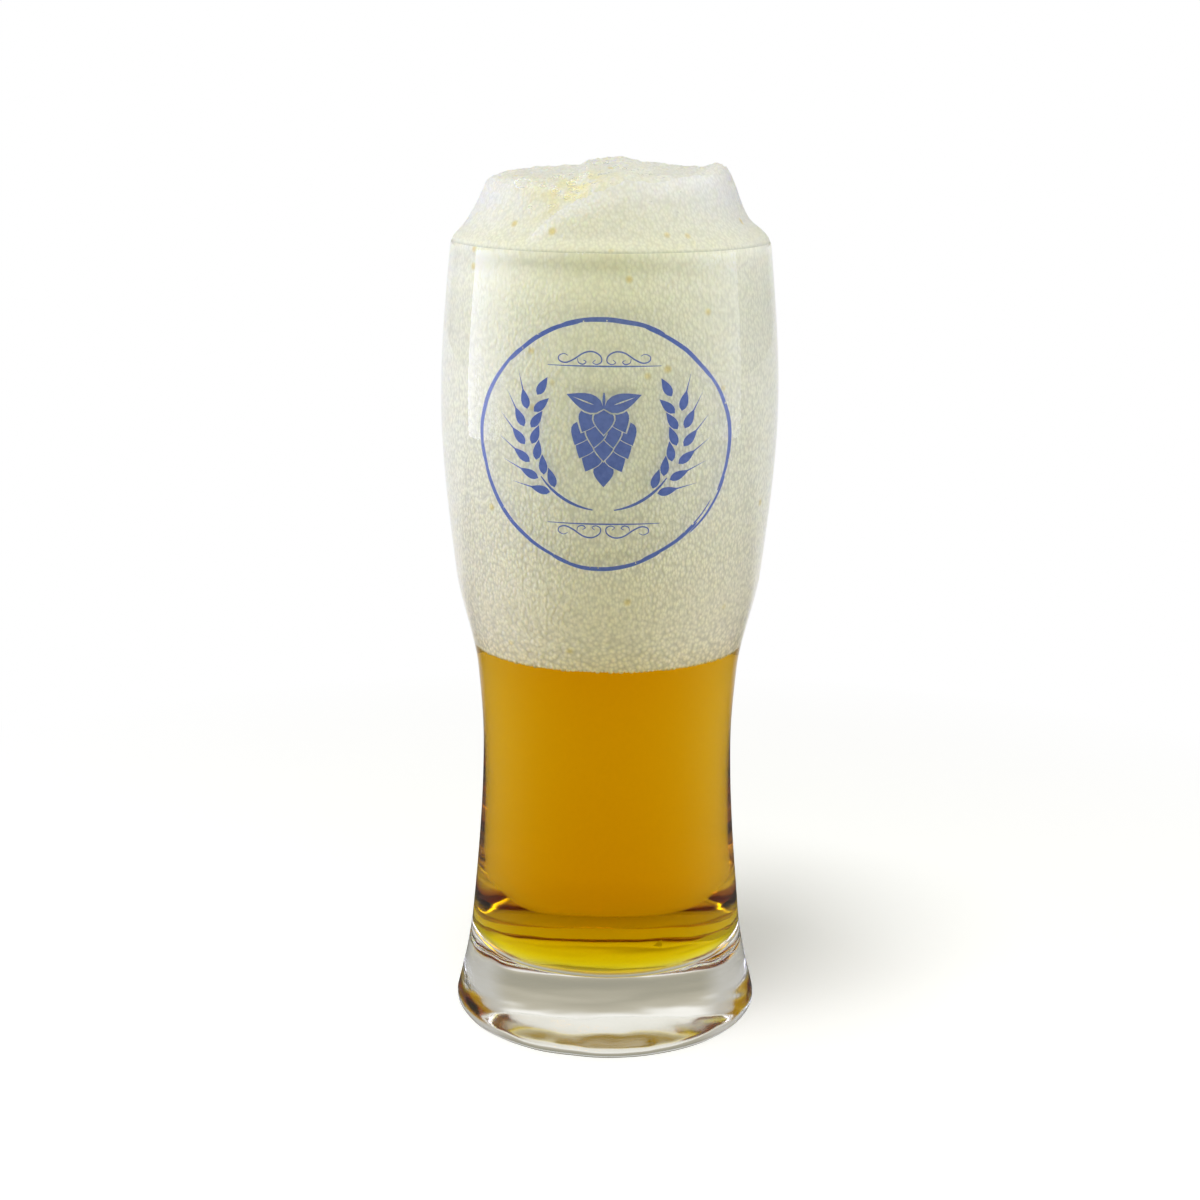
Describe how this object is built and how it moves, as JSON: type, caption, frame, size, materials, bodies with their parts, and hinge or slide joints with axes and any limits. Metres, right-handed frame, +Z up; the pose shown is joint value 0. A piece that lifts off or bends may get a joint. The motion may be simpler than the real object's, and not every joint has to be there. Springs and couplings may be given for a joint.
{
  "type": "filled beer glass",
  "caption": "Waisted beer glass with a thick clear base, filled with beer under a tall head of foam, with a round printed badge on the front of its belly.",
  "frame": {"origin": "centre of the foot ring, on the surface that the glass stands on", "axes": "+Z up along the glass's axis; the printed badge faces -Y"},
  "size_m": [0.0816, 0.0817, 0.2135],
  "materials": {
    "clear_glass": "clear soda-lime glass, fire-polished",
    "beer": "clear amber-gold liquid",
    "foam": "fine creamy foam",
    "blue_ink": "fired ceramic ink, satin"
  },
  "bodies": {
    "root": {"glass_body": "clear_glass", "beer": "beer", "foam_head": "foam", "ring_print": "blue_ink", "upper_scroll_print": "blue_ink", "lower_scroll_print": "blue_ink", "left_barley_print": "blue_ink", "right_barley_print": "blue_ink", "hop_print": "blue_ink"}
  },
  "joints": []
}
